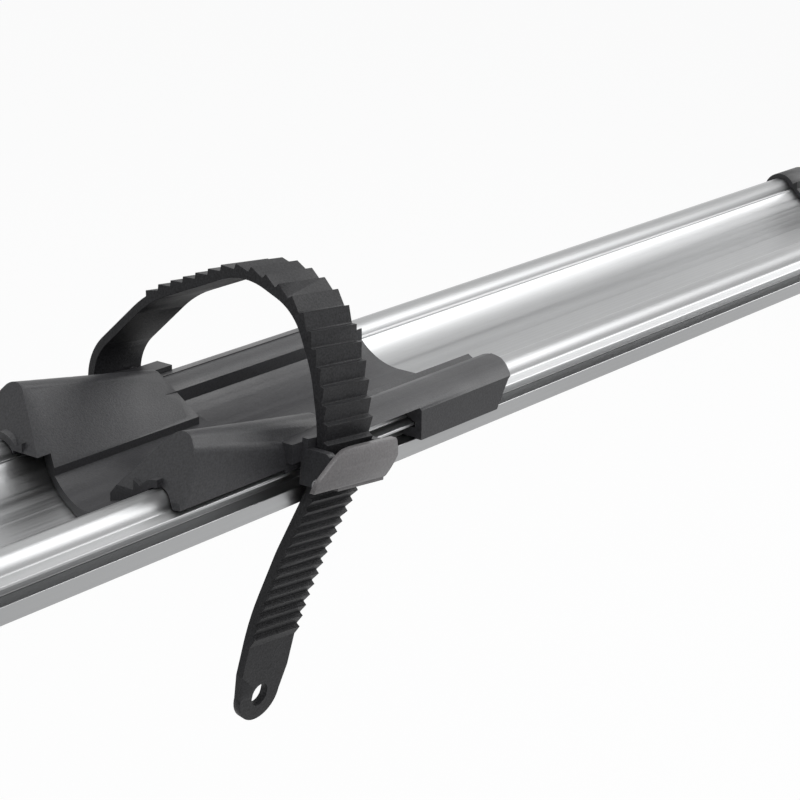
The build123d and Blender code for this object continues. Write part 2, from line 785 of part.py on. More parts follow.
clips = []
clip_screws = []
pads = []
clamp_number = 0
for foot_name, bar_x, half_width, clamp_y in (
    ("front_foot", front_bar_x, front_foot_half_width, front_clamp_y),
    ("rear_foot", rear_bar_x, rear_foot_half_width, rear_clamp_y),
):
    clip_x = (bar_x - clip_spacing / 2 + clip_offset, bar_x + clip_spacing / 2 + clip_offset)
    track_x = bar_x + clip_offset
    clip_y = tray_half_width + clip_reach - clip_head_radius - overrun
    clip_places = [(along, side * clip_y) for along in clip_x for side in (-1, 1)]

    # Foot
    with BuildPart() as foot:
        with BuildSketch(Plane.XY.offset(-foot_height)) as outline:
            with BuildLine():
                Polyline(
                    (bar_x - foot_front, -half_width * foot_taper_share),
                    (bar_x - foot_front * foot_end_share, -half_width),
                    (bar_x + foot_back, -half_width),
                    (bar_x + foot_back, half_width),
                    (bar_x - foot_front * foot_end_share, half_width),
                    (bar_x - foot_front, half_width * foot_taper_share),
                    close=True,
                )
            make_face()
            fillet(outline.vertices(), foot_corner)
        extrude(amount=foot_height)
        with BuildSketch(Plane.XY.offset(-foot_height)):
            with Locations(
                (bar_x + clamp_bolt_x, -clamp_y), (bar_x + clamp_bolt_x, clamp_y)
            ):
                Circle(clamp_bolt_radius + running_gap)
            with Locations((track_x, -track_hole_y), (track_x, track_hole_y)):
                Circle(track_hole_radius)
        extrude(amount=foot_height, mode=Mode.SUBTRACT)
        with BuildSketch():
            with Locations(clip_places):
                Circle(clip_screw_radius)
        extrude(amount=-clip_screw_depth - overrun, mode=Mode.SUBTRACT)
    foot.part.label = foot_name
    export_step(foot.part, "parts/" + foot_name + ".step")

    # Rubber pads between the foot and the bar
    for side in (-1, 1):
        with BuildPart() as pad:
            with BuildSketch(Plane.XY.offset(-foot_height)):
                with Locations((bar_x, side * (clamp_y - pad_half_length / 2))):
                    RectangleRounded(bar_width, 2 * pad_half_length, claw_round)
            extrude(amount=-pad_wall)
        pads.append(pad.part)

    # Clips that hook into the tray's side slots
    for along, across in clip_places:
        side = 1 if across > 0 else -1
        with BuildPart() as clip:
            with BuildSketch(Plane.YZ.offset(along - clip_length / 2)):
                with BuildLine():
                    Polyline(
                        (side * (tray_half_width + seat_gap), 0),
                        (side * (tray_half_width + clip_reach), 0),
                        (side * (tray_half_width + clip_reach), clip_height - clip_head_height),
                        (side * (tray_half_width + seat_gap), hook_top),
                        (side * (tray_half_width - clip_lip), hook_top),
                        (side * (tray_half_width - clip_lip), hook_bottom),
                        (side * (tray_half_width + seat_gap), hook_bottom),
                        close=True,
                    )
                make_face()
            extrude(amount=clip_length)
            with BuildSketch():
                with Locations((along, across)):
                    Circle(clip_screw_radius + seat_gap)
            extrude(amount=clip_height, mode=Mode.SUBTRACT)
            with BuildSketch(Plane.XY.offset(clip_seat)):
                with Locations((along, across)):
                    Circle(clip_head_radius + slide_gap)
            extrude(amount=clip_height, mode=Mode.SUBTRACT)
        clips.append(clip.part)
        with BuildPart() as clip_screw:
            with BuildSketch(Plane.XY.offset(-clip_screw_depth)):
                with Locations((along, across)):
                    Circle(clip_screw_radius - seat_gap)
            extrude(amount=clip_screw_depth + clip_seat)
            with BuildSketch(Plane.XY.offset(clip_seat)):
                with Locations((along, across)):
                    Circle(clip_head_radius)
                    RegularPolygon(clip_screw_radius, 6, mode=Mode.SUBTRACT)
            extrude(amount=clip_head_height)
        clip_screws.append(clip_screw.part)

    # Bar clamps: a claw under the bar, drawn up by a bolt that the knob turns
    for side in (-1, 1):
        clamp_number += 1
        bolt_x = bar_x + clamp_bolt_x
        bar_bottom = -foot_height - pad_wall - bar_height
        with BuildPart() as claw:
            with BuildSketch(Plane.XZ.offset(-side * clamp_y - clamp_width / 2)) as hook:
                with BuildLine():
                    Polyline(
                        (bar_x - bar_width / 2 - claw_hook, bar_bottom + claw_hook_height),
                        (bar_x - bar_width / 2 - claw_hook, bar_bottom - claw_wall),
                        (bolt_x + claw_boss_back, bar_bottom - claw_wall),
                        (bolt_x + claw_boss_back, -claw_boss_top),
                        (bar_x + bar_width / 2 + slide_gap, -claw_boss_top),
                        (bar_x + bar_width / 2 + slide_gap, bar_bottom),
                        (bar_x - bar_width / 2 - slide_gap, bar_bottom),
                        (bar_x - bar_width / 2 - slide_gap, bar_bottom + claw_hook_height),
                        close=True,
                    )
                make_face()
                fillet(hook.vertices().group_by(Axis.Y)[0], claw_round)
            extrude(amount=clamp_width)
            with BuildSketch(Plane.XY.offset(bar_bottom - claw_wall)):
                with Locations((bolt_x, side * clamp_y)):
                    Circle(clamp_bolt_radius + running_gap)
            extrude(amount=bar_height + 2 * claw_wall, mode=Mode.SUBTRACT)
        claw.part.label = "clamp_claw_" + str(clamp_number)
        export_step(claw.part, "parts/clamp_claw_" + str(clamp_number) + ".step")

        with BuildPart() as clamp_bolt:
            with BuildSketch(Plane.XY.offset(bar_bottom - claw_wall - bolt_tail)):
                with Locations((bolt_x, side * clamp_y)):
                    Circle(clamp_bolt_radius)
            extrude(amount=bolt_tail + claw_wall - bar_bottom + knob_stem_height + knob_height / 2)
        clamp_bolt.part.label = "clamp_bolt_" + str(clamp_number)
        export_step(clamp_bolt.part, "parts/clamp_bolt_" + str(clamp_number) + ".step")

        with BuildPart(Plane.XY.offset(slide_gap)) as clamp_knob:
            with Locations((bolt_x, side * clamp_y, knob_stem_height)):
                add(
                    lobed_knob(
                        knob_radius,
                        knob_height,
                        knob_lobes,
                        knob_scallop_radius,
                        knob_scallop_share,
                        knob_edge,
                    )
                )
            with BuildSketch(Plane.XY.offset(slide_gap)):
                with Locations((bolt_x, side * clamp_y)):
                    Circle(knob_stem_radius)
            extrude(amount=knob_stem_height)
            with BuildSketch(Plane.XY):
                with Locations((bolt_x, side * clamp_y)):
                    Circle(clamp_bolt_radius)
            extrude(amount=knob_stem_height + knob_height / 2, mode=Mode.SUBTRACT)
        clamp_knob.part.label = "clamp_knob_" + str(clamp_number)
        export_step(clamp_knob.part, "parts/clamp_knob_" + str(clamp_number) + ".step")

for group_name, pieces in (
    ("slot_clips", clips),
    ("clip_screws", clip_screws),
    ("foot_pads", pads),
):
    group = Compound(label=group_name, children=pieces)
    export_step(group, "parts/" + group_name + ".step")


# Arm bracket on the tray and the arm's pivot
arm_inset = 495.0
arm_x = arm_inset - tray_length / 2
pivot_z = 48.0
bracket_half_length = 32.0
bracket_half_width = 38.5
bracket_top = 17.0
bracket_bottom = 3.6
bracket_round = 4.0
ear_inner = 18.0
ear_wall = 7.0
ear_radius = 16.0
ear_foot_share = 0.85
pivot_radius = 5.0
pivot_head_radius = 9.0
pivot_head_height = 4.0
pivot_nut_height = 5.0
bracket_screw_radius = 1.7
bracket_screw_head = 3.4
bracket_screw_head_height = 2.6
bracket_screw_z = 6.1
bracket_screw_length = 8.0
bracket_screw_share = 0.62

# Arm
barrel_radius = 14.0
bush_wall = 1.6
bush_length = 12.0
bush_flange = 2.5
bush_flange_height = 1.2
arm_depth = 38.0
arm_breadth = 26.0
arm_wall = 2.0
arm_start = 26.0
arm_length = 352.0
neck_start = 6.0
plug_length = 32.0
head_height = 30.0
arm_top = arm_start + arm_length
head_top = arm_top + head_height
rivet_radius = 2.0
rivet_head_radius = 3.4
rivet_head_height = 1.2
rivet_taper = 30.0

# Head of the arm: jaws, clamp screw and knob. Heights are from the pivot.
tube_radius = 23.0
tube_rise = 52.0
tube_height = head_top + tube_rise
pad_thickness = 3.0
jaw_wall = 8.0
jaw_half_length = 15.0
jaw_rise = 20.0
jaw_split = 8.0
jaw_root = 15.0
jaw_foot_inner = 21.0
hinge_y = 25.0
hinge_rise = 18.0
hinge_height = arm_top + hinge_rise
hinge_radius = 2.5
hinge_boss_radius = 6.0
hinge_clearance = 5.0
lug_wall = 5.0
screw_rise = 12.0
screw_height = head_top + screw_rise
screw_rod_radius = 4.0
screw_rod_end = 62.0
slot_half_height = 10.0
slot_rise = 1.0
slot_half_width = 4.6
nut_radius = 6.0
nut_half_length = 12.0
nut_gap = 0.4
grip_radius = 22.0
grip_depth = 24.0
grip_lobes = 8
grip_scallop_radius = 6.0
grip_scallop_share = 1.15
grip_edge = 2.0
cap_disc_radius = 13.0
cap_disc_depth = 1.6
lock_rise = 9.5
lock_height = arm_top + lock_rise
lock_radius = 4.0
lock_housing_radius = 6.0
lock_depth = 14.0
key_width = 1.2
key_height = 5.0
key_depth = 5.0
head_round = 3.0
rivet_heights = (arm_start + plug_length / 2, arm_top - plug_length / 2)


def level(height):
    """The plane across the arm at a height above its pivot."""
    return Plane.XY.offset(pivot_z + height)


def rivet_holes():
    """Round cuts through the arm where its rivets pass."""
    with BuildPart() as holes:
        with BuildSketch(Plane.XZ):
            with Locations([(arm_x, pivot_z + height) for height in rivet_heights]):
                Circle(rivet_radius + running_gap)
        extrude(amount=arm_breadth, both=True)
    return holes.part


# Arm bracket
with BuildPart() as arm_bracket:
    with BuildSketch(Plane.YZ.offset(arm_x - bracket_half_length)) as saddle_block:
        with Locations((0, (bracket_top + bracket_bottom) / 2)):
            Rectangle(2 * bracket_half_width, bracket_top - bracket_bottom)
        fillet(saddle_block.vertices().group_by(Axis.Y)[-1], bracket_round)
        add(tray_section(seat_gap), mode=Mode.SUBTRACT)
    extrude(amount=2 * bracket_half_length)
    for side in (-1, 1):
        with BuildSketch(Plane.XZ.offset(-side * ear_inner)):
            with Locations((arm_x, pivot_z)):
                Circle(ear_radius)
            with BuildLine():
                Polyline(
                    (arm_x - bracket_half_length * ear_foot_share, bracket_top - overrun),
                    (arm_x + bracket_half_length * ear_foot_share, bracket_top - overrun),
                    (arm_x + ear_radius, pivot_z),
                    (arm_x - ear_radius, pivot_z),
                    close=True,
                )
            make_face()
        extrude(amount=-side * ear_wall)
    with BuildSketch(Plane.XZ):
        with Locations((arm_x, pivot_z)):
            Circle(pivot_radius)
    extrude(amount=bracket_half_width, both=True, mode=Mode.SUBTRACT)
    for side in (-1, 1):
        with BuildSketch(Plane.XZ.offset(-side * (tray_half_width - slot_depth))):
            for end_side in (-1, 1):
                with Locations(
                    (arm_x + end_side * bracket_half_length * bracket_screw_share, bracket_screw_z)
                ):
                    Circle(bracket_screw_radius)
        extrude(amount=-side * (bracket_half_width - tray_half_width + slot_depth), mode=Mode.SUBTRACT)
arm_bracket.part.label = "arm_bracket"
export_step(arm_bracket.part, "parts/arm_bracket.step")

bracket_screws = []
for side in (-1, 1):
    for end_side in (-1, 1):
        screw_place = (arm_x + end_side * bracket_half_length * bracket_screw_share, bracket_screw_z)
        with BuildPart() as bracket_screw:
            with BuildSketch(Plane.XZ.offset(-side * (bracket_half_width - bracket_screw_length))):
                with Locations(screw_place):
                    Circle(bracket_screw_radius)
            extrude(amount=-side * bracket_screw_length)
            with BuildSketch(Plane.XZ.offset(-side * bracket_half_width)):
                with Locations(screw_place):
                    Circle(bracket_screw_head)
                    RegularPolygon(bracket_screw_radius, 6, mode=Mode.SUBTRACT)
            extrude(amount=-side * bracket_screw_head_height)
        bracket_screws.append(bracket_screw.part)
export_step(Compound(label="bracket_screws", children=bracket_screws), "parts/bracket_screws.step")

# Arm pivot pin with its nut
ear_outer = ear_inner + ear_wall
with BuildPart() as pivot_pin:
    with BuildSketch(Plane.XZ.offset(-ear_outer - pivot_nut_height)):
        with Locations((arm_x, pivot_z)):
            Circle(pivot_radius)
    extrude(amount=2 * ear_outer + pivot_nut_height)
    with BuildSketch(Plane.XZ.offset(ear_outer)):
        with Locations((arm_x, pivot_z)):
            Circle(pivot_head_radius)
            RegularPolygon(pivot_radius, 6, mode=Mode.SUBTRACT)
    extrude(amount=pivot_head_height)
    fillet(pivot_pin.faces().sort_by(Axis.Y)[0].outer_wire().edges(), overrun)
pivot_pin.part.label = "pivot_pin"
export_step(pivot_pin.part, "parts/pivot_pin.step")

with BuildPart() as pivot_nut:
    with BuildSketch(Plane.XZ.offset(-ear_outer)):
        with Locations((arm_x, pivot_z)):
            RegularPolygon(pivot_head_radius, 6)
            Circle(pivot_radius, mode=Mode.SUBTRACT)
    extrude(amount=-pivot_nut_height)
pivot_nut.part.label = "pivot_nut"
export_step(pivot_nut.part, "parts/pivot_nut.step")

# Arm knuckle with its two bushes
knuckle_half = ear_inner - bush_flange_height - slide_gap
with BuildPart() as arm_knuckle:
    with BuildSketch(Plane.XZ.offset(-knuckle_half)):
        with Locations((arm_x, pivot_z)):
            Circle(barrel_radius)
    extrude(amount=2 * knuckle_half)
    with BuildSketch(level(neck_start)):
        with Locations((arm_x, 0)):
            SlotOverall(arm_depth, arm_breadth)
    extrude(amount=arm_start - neck_start)
    with BuildSketch(level(arm_start)):
        with Locations((arm_x, 0)):
            SlotOverall(arm_depth - 2 * arm_wall - seat_gap, arm_breadth - 2 * arm_wall - seat_gap)
    extrude(amount=plug_length)
    with BuildSketch(Plane.XZ.offset(-knuckle_half)):
        with Locations((arm_x, pivot_z)):
            Circle(pivot_radius + running_gap + bush_wall)
    extrude(amount=2 * knuckle_half, mode=Mode.SUBTRACT)
    add(rivet_holes(), mode=Mode.SUBTRACT)
arm_knuckle.part.label = "arm_knuckle"
export_step(arm_knuckle.part, "parts/arm_knuckle.step")

bushes = []
for side in (-1, 1):
    with BuildPart() as bush:
        with BuildSketch(Plane.XZ.offset(-side * (knuckle_half - bush_length))):
            with Locations((arm_x, pivot_z)):
                Circle(pivot_radius + running_gap + bush_wall)
        extrude(amount=-side * bush_length)
        with BuildSketch(Plane.XZ.offset(-side * knuckle_half)):
            with Locations((arm_x, pivot_z)):
                Circle(pivot_radius + bush_wall + bush_flange)
        extrude(amount=-side * bush_flange_height)
        with BuildSketch(Plane.XZ):
            with Locations((arm_x, pivot_z)):
                Circle(pivot_radius + running_gap)
        extrude(amount=ear_outer, both=True, mode=Mode.SUBTRACT)
    bushes.append(bush.part)
export_step(Compound(label="arm_bushes", children=bushes), "parts/arm_bushes.step")

# Arm tube
with BuildPart() as arm_tube:
    with BuildSketch(level(arm_start)):
        with Locations((arm_x, 0)):
            SlotOverall(arm_depth, arm_breadth)
            SlotOverall(arm_depth - 2 * arm_wall, arm_breadth - 2 * arm_wall, mode=Mode.SUBTRACT)
    extrude(amount=arm_length)
    add(rivet_holes(), mode=Mode.SUBTRACT)
arm_tube.part.label = "arm_tube"
export_step(arm_tube.part, "parts/arm_tube.step")

# Head with the fixed jaw
jaw_inner_radius = tube_radius + pad_thickness
jaw_outer_radius = jaw_inner_radius + jaw_wall
head_half_length = jaw_half_length + slide_gap + lug_wall
tube_z = pivot_z + tube_height


def jaw_claw(side):
    """The curved part of a jaw, seen along the arm's pivot plane."""
    with BuildSketch() as claw_face:
        with Locations((0, tube_z)):
            Circle(jaw_outer_radius)
        with Locations((side * (jaw_foot_inner + jaw_outer_radius) / 2, tube_z - tube_radius)):
            Rectangle(jaw_outer_radius - jaw_foot_inner, 2 * (tube_radius - jaw_root))
        with Locations((side * jaw_split, tube_z + jaw_rise)):
            Rectangle(
                jaw_outer_radius,
                jaw_rise + tube_radius + jaw_outer_radius - jaw_root,
                align=(Align.MIN if side == 1 else Align.MAX, Align.MAX),
                mode=Mode.INTERSECT,
            )
        with Locations((0, tube_z)):
            Circle(jaw_inner_radius, mode=Mode.SUBTRACT)
    return claw_face.sketch


def jaw_lining(side):
    """The soft lining inside a jaw."""
    with BuildSketch() as lining_face:
        with Locations((0, tube_z)):
            Circle(jaw_inner_radius)
            Circle(tube_radius, mode=Mode.SUBTRACT)
        with Locations((side * (jaw_split + overrun), tube_z + jaw_rise - overrun)):
            Rectangle(
                jaw_outer_radius,
                jaw_rise + jaw_outer_radius,
                align=(Align.MIN if side == 1 else Align.MAX, Align.MAX),
                mode=Mode.INTERSECT,
            )
    return lining_face.sketch


with BuildPart() as head_body:
    with BuildSketch(level(arm_top - plug_length)):
        with Locations((arm_x, 0)):
            SlotOverall(arm_depth - 2 * arm_wall - seat_gap, arm_breadth - 2 * arm_wall - seat_gap)
    extrude(amount=plug_length)
    with BuildSketch(level(arm_top)) as block:
        with Locations((arm_x, (hinge_y - hinge_boss_radius - hinge_clearance - jaw_outer_radius) / 2)):
            Rectangle(
                2 * head_half_length,
                hinge_y - hinge_boss_radius - hinge_clearance + jaw_outer_radius,
            )
        fillet(block.vertices(), head_round)
    extrude(amount=head_height)
    with BuildSketch(Plane.YZ.offset(arm_x - jaw_half_length)):
        add(jaw_claw(-1))
        with Locations((-jaw_outer_radius, pivot_z + head_top - overrun)):
            Rectangle(
                jaw_outer_radius - jaw_foot_inner,
                tube_height - jaw_root - arm_top - head_height + overrun,
                align=(Align.MIN, Align.MIN),
            )
        with Locations((0, tube_z)):
            Circle(jaw_inner_radius, mode=Mode.SUBTRACT)
    extrude(amount=2 * jaw_half_length)
    for side in (-1, 1):
        with BuildSketch(Plane.YZ.offset(arm_x + side * (jaw_half_length + slide_gap))):
            with Locations((hinge_y, pivot_z + hinge_height)):
                Circle(hinge_boss_radius)
            with Locations((0, pivot_z + hinge_height)):
                Rectangle(hinge_y, 2 * hinge_boss_radius, align=(Align.MIN, Align.CENTER))
            with Locations((hinge_y, pivot_z + hinge_height)):
                Circle(hinge_radius, mode=Mode.SUBTRACT)
        extrude(amount=side * lug_wall)
    with BuildSketch(Plane.XZ):
        with Locations((arm_x, pivot_z + screw_height)):
            Circle(screw_rod_radius + running_gap)
    extrude(amount=jaw_outer_radius + overrun, mode=Mode.SUBTRACT)
    with BuildSketch(Plane.XZ.offset(jaw_outer_radius - lock_depth)):
        with Locations((arm_x, pivot_z + lock_height)):
            Circle(lock_housing_radius)
    extrude(amount=lock_depth, mode=Mode.SUBTRACT)
    add(rivet_holes(), mode=Mode.SUBTRACT)
head_body.part.label = "head_body"
export_step(head_body.part, "parts/head_body.step")

# Rivets through the tube and its two plugs
rivets = []
for height in rivet_heights:
    with BuildPart() as rivet:
        with BuildSketch(Plane.XZ):
            with Locations((arm_x, pivot_z + height)):
                Circle(rivet_radius)
        extrude(amount=arm_breadth / 2, both=True)
        for side in (-1, 1):
            with BuildSketch(Plane.XZ.offset(side * arm_breadth / 2)):
                with Locations((arm_x, pivot_z + height)):
                    Circle(rivet_head_radius)
            extrude(amount=side * rivet_head_height, taper=rivet_taper)
    rivets.append(rivet.part)
export_step(Compound(label="arm_rivets", children=rivets), "parts/arm_rivets.step")

# Soft linings of the jaws
for lining_name, side in (("fixed_pad", -1), ("moving_pad", 1)):
    with BuildPart() as lining:
        with BuildSketch(Plane.YZ.offset(arm_x - jaw_half_length)):
            add(jaw_lining(side))
        extrude(amount=2 * jaw_half_length)
    lining.part.label = lining_name
    export_step(lining.part, "parts/" + lining_name + ".step")

# Moving jaw and its hinge pin
with BuildPart() as moving_jaw:
    with BuildSketch(Plane.YZ.offset(arm_x - jaw_half_length)):
        add(jaw_claw(1))
        with Locations((hinge_y, pivot_z + hinge_height)):
            Circle(hinge_boss_radius)
        with BuildLine():
            Polyline(
                (hinge_y - hinge_boss_radius, pivot_z + hinge_height),
                (hinge_y + hinge_boss_radius, pivot_z + hinge_height),
                (jaw_outer_radius, pivot_z + screw_height - slot_half_height),
                (jaw_outer_radius, tube_z - jaw_root),
                (jaw_foot_inner, tube_z - jaw_root),
                (jaw_foot_inner, pivot_z + screw_height - slot_half_height),
                close=True,
            )
        make_face()
        with Locations((0, tube_z)):
            Circle(jaw_inner_radius, mode=Mode.SUBTRACT)
        with Locations((hinge_y, pivot_z + hinge_height)):
            Circle(hinge_radius + running_gap, mode=Mode.SUBTRACT)
    extrude(amount=2 * jaw_half_length)
    with BuildSketch(Plane.XZ):
        with Locations((arm_x, pivot_z + screw_height + slot_rise)):
            SlotOverall(2 * slot_half_height, 2 * slot_half_width, rotation=90)
    extrude(amount=-jaw_outer_radius - overrun, mode=Mode.SUBTRACT)
moving_jaw.part.label = "moving_jaw"
export_step(moving_jaw.part, "parts/moving_jaw.step")

with BuildPart() as jaw_pin:
    with BuildSketch(Plane.YZ.offset(arm_x - head_half_length)):
        with Locations((hinge_y, pivot_z + hinge_height)):
            Circle(hinge_radius)
    extrude(amount=2 * head_half_length)
jaw_pin.part.label = "jaw_pin"
export_step(jaw_pin.part, "parts/jaw_pin.step")

# Clamp screw, its barrel nut and the torque knob
with BuildPart() as clamp_screw:
    with BuildSketch(Plane.XZ.offset(jaw_outer_radius + nut_gap + grip_depth / 2)):
        with Locations((arm_x, pivot_z + screw_height)):
            Circle(screw_rod_radius)
    extrude(amount=-screw_rod_end - jaw_outer_radius - nut_gap - grip_depth / 2)
clamp_screw.part.label = "clamp_screw"
export_step(clamp_screw.part, "parts/clamp_screw.step")

nut_y = jaw_outer_radius + nut_gap + nut_radius
with BuildPart() as barrel_nut:
    with BuildSketch(Plane.YZ.offset(arm_x - nut_half_length)):
        with Locations((nut_y, pivot_z + screw_height)):
            Circle(nut_radius)
    extrude(amount=2 * nut_half_length)
    with BuildSketch(Plane.XZ):
        with Locations((arm_x, pivot_z + screw_height)):
            Circle(screw_rod_radius + running_gap)
    extrude(amount=-nut_y - nut_radius - overrun, mode=Mode.SUBTRACT)
barrel_nut.part.label = "barrel_nut"
export_step(barrel_nut.part, "parts/barrel_nut.step")

grip_plane = Plane(
    origin=(arm_x, -jaw_outer_radius - nut_gap, pivot_z + screw_height),
    x_dir=(1, 0, 0),
    z_dir=(0, -1, 0),
)
with BuildPart(grip_plane) as torque_knob:
    add(
        lobed_knob(
            grip_radius,
            grip_depth,
            grip_lobes,
            grip_scallop_radius,
            grip_scallop_share,
            grip_edge,
        )
    )
    with BuildSketch(grip_plane):
        Circle(screw_rod_radius)
    extrude(amount=grip_depth / 2, mode=Mode.SUBTRACT)
    with BuildSketch(grip_plane.offset(grip_depth - cap_disc_depth)):
        Circle(cap_disc_radius + seat_gap)
    extrude(amount=cap_disc_depth, mode=Mode.SUBTRACT)
torque_knob.part.label = "torque_knob"
export_step(torque_knob.part, "parts/torque_knob.step")

with BuildPart() as knob_cap:
    with BuildSketch(grip_plane.offset(grip_depth - cap_disc_depth)):
        Circle(cap_disc_radius)
    extrude(amount=cap_disc_depth)
knob_cap.part.label = "knob_cap"
export_step(knob_cap.part, "parts/knob_cap.step")

# Lock: a sleeve pressed into the head and a barrel that the key turns
lock_plane = Plane(
    origin=(arm_x, -jaw_outer_radius, pivot_z + lock_height),
    x_dir=(1, 0, 0),
    z_dir=(0, -1, 0),
)
with BuildPart() as lock_housing:
    with BuildSketch(lock_plane.offset(-lock_depth)):
        Circle(lock_housing_radius)
    extrude(amount=lock_depth)
    with BuildSketch(lock_plane.offset(-lock_depth + overrun)):
        Circle(lock_radius + running_gap)
    extrude(amount=lock_depth, mode=Mode.SUBTRACT)
lock_housing.part.label = "lock_housing"
export_step(lock_housing.part, "parts/lock_housing.step")

with BuildPart() as lock_barrel:
    with BuildSketch(lock_plane.offset(-lock_depth + overrun + seat_gap)):
        Circle(lock_radius)
    extrude(amount=lock_depth - overrun - seat_gap)
    with BuildSketch(lock_plane.offset(-key_depth)):
        Rectangle(key_width, key_height)
    extrude(amount=key_depth, mode=Mode.SUBTRACT)
lock_barrel.part.label = "lock_barrel"
export_step(lock_barrel.part, "parts/lock_barrel.step")
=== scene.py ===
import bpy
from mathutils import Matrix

bl_info = {
    "name": "Roof Mounted Bike Carrier",
    "version": (1, 0, 0),
    "blender": (4, 5, 0),
    "location": "View3D > Sidebar > Bike Carrier",
    "description": "Finishes and trim for a roof mounted bike carrier",
    "category": "Object",
}

from collections import namedtuple
from math import radians

import bmesh
import bpy
from mathutils import Matrix, Vector

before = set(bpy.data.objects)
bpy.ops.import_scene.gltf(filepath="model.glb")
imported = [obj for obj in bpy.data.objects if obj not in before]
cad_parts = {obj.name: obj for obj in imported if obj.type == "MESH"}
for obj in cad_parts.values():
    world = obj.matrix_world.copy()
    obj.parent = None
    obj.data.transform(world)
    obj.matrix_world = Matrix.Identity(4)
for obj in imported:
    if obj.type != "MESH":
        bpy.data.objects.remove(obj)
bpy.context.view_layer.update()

# Noise values lie mostly between these two
noise_low = 0.3
noise_high = 0.7

# Noise cycles in a metre of the piece
cloud_scale = 9.0
patch_scale = 60.0
zinc_scale = 260.0
peel_scale = 900.0
line_scale = 1.5

Lamp = namedtuple("Lamp", "name place aim reach power")
lamps = (
    Lamp(name="key_lamp", place=(-0.7, -1.7, 1.7), aim=(0.3, 0, 0), reach=1.4, power=22.0),
    Lamp(name="rear_lamp", place=(2.05, -0.5, 1.05), aim=(0.4, 0, 0), reach=1.3, power=16.0),
    Lamp(name="top_lamp", place=(0.3, 0.6, 2.4), aim=(0.3, 0, 0), reach=2.0, power=24.0),
)


class CarrierColours(bpy.types.PropertyGroup):
    """Colours of the carrier's materials."""

    tray_metal: bpy.props.FloatVectorProperty(
        name="Tray metal",
        description="Anodised aluminium of the tray and the arm",
        subtype="COLOR",
        size=3,
        min=0,
        max=1,
        default=(0.38, 0.384, 0.388),
    )
    holder_plastic: bpy.props.FloatVectorProperty(
        name="Holder plastic",
        description="Grained plastic of the wheel holders",
        subtype="COLOR",
        size=3,
        min=0,
        max=1,
        default=(0.022, 0.022, 0.024),
    )
    strap_plastic: bpy.props.FloatVectorProperty(
        name="Strap plastic",
        description="Flexible plastic of the toothed straps",
        subtype="COLOR",
        size=3,
        min=0,
        max=1,
        default=(0.011, 0.011, 0.012),
    )
    tab_plastic: bpy.props.FloatVectorProperty(
        name="Tab plastic",
        description="Smooth plastic of the buckle tabs",
        subtype="COLOR",
        size=3,
        min=0,
        max=1,
        default=(0.124, 0.118, 0.119),
    )
    trim_plastic: bpy.props.FloatVectorProperty(
        name="Trim plastic",
        description="Black plastic of feet, knobs, end caps and the arm's head",
        subtype="COLOR",
        size=3,
        min=0,
        max=1,
        default=(0.018, 0.018, 0.019),
    )
    soft_rubber: bpy.props.FloatVectorProperty(
        name="Soft rubber",
        description="Rubber of the jaw linings and the foot pads",
        subtype="COLOR",
        size=3,
        min=0,
        max=1,
        default=(0.035, 0.035, 0.037),
    )
    steel: bpy.props.FloatVectorProperty(
        name="Steel",
        description="Zinc plated steel of pins, bolts and screws",
        subtype="COLOR",
        size=3,
        min=0,
        max=1,
        default=(0.55, 0.55, 0.56),
    )
    claw_paint: bpy.props.FloatVectorProperty(
        name="Claw paint",
        description="Black coating of the bar claws",
        subtype="COLOR",
        size=3,
        min=0,
        max=1,
        default=(0.016, 0.016, 0.017),
    )
    floor: bpy.props.FloatVectorProperty(
        name="Floor",
        description="Floor and background",
        subtype="COLOR",
        size=3,
        min=0,
        max=1,
        default=(1.0, 1.0, 1.0),
    )


class CarrierSizes(bpy.types.PropertyGroup):
    """Sizes of the carrier's surface detail and of its stage."""

    grain: bpy.props.FloatProperty(
        name="Plastic grain",
        description="Size of one grain on the moulded plastic",
        default=0.0005,
        unit="LENGTH",
    )
    streak: bpy.props.FloatProperty(
        name="Extrusion streak",
        description="Spacing of the fine lines that run along the tray",
        default=0.0009,
        unit="LENGTH",
    )
    soft_edge: bpy.props.FloatProperty(
        name="Moulded edge",
        description="Rounding of the edges of moulded pieces",
        default=0.0004,
        unit="LENGTH",
    )
    tooth_edge: bpy.props.FloatProperty(
        name="Tooth edge",
        description="Rounding of the edges of the straps and their teeth",
        default=0.0002,
        unit="LENGTH",
    )
    metal_edge: bpy.props.FloatProperty(
        name="Metal edge",
        description="Rounding of the edges of the extruded tray",
        default=0.00025,
        unit="LENGTH",
    )
    floor_drop: bpy.props.FloatProperty(
        name="Floor below the tray",
        description="Height of the tray's underside above the floor",
        default=0.45,
        unit="LENGTH",
    )
    floor_reach: bpy.props.FloatProperty(
        name="Floor size",
        description="Length of the floor's sides",
        default=30.0,
        unit="LENGTH",
    )


class CarrierLight(bpy.types.PropertyGroup):
    """Light of the background and of the floor."""

    sky: bpy.props.FloatVectorProperty(
        name="Sky",
        description="Colour of the light from all around",
        subtype="COLOR",
        size=3,
        min=0,
        max=1,
        default=(0.95, 0.97, 1.0),
    )
    sky_strength: bpy.props.FloatProperty(
        name="Sky strength",
        description="Strength of the light from all around",
        default=0.45,
        min=0,
    )
    floor_paint: bpy.props.FloatProperty(
        name="Floor paint",
        description="Share of the light that the floor gives back",
        default=0.8,
        min=0,
        max=1,
    )
    floor_glow: bpy.props.FloatProperty(
        name="Floor glow",
        description="Share of plain background colour in the floor as the camera sees it",
        default=0.93,
        min=0,
        max=1,
    )


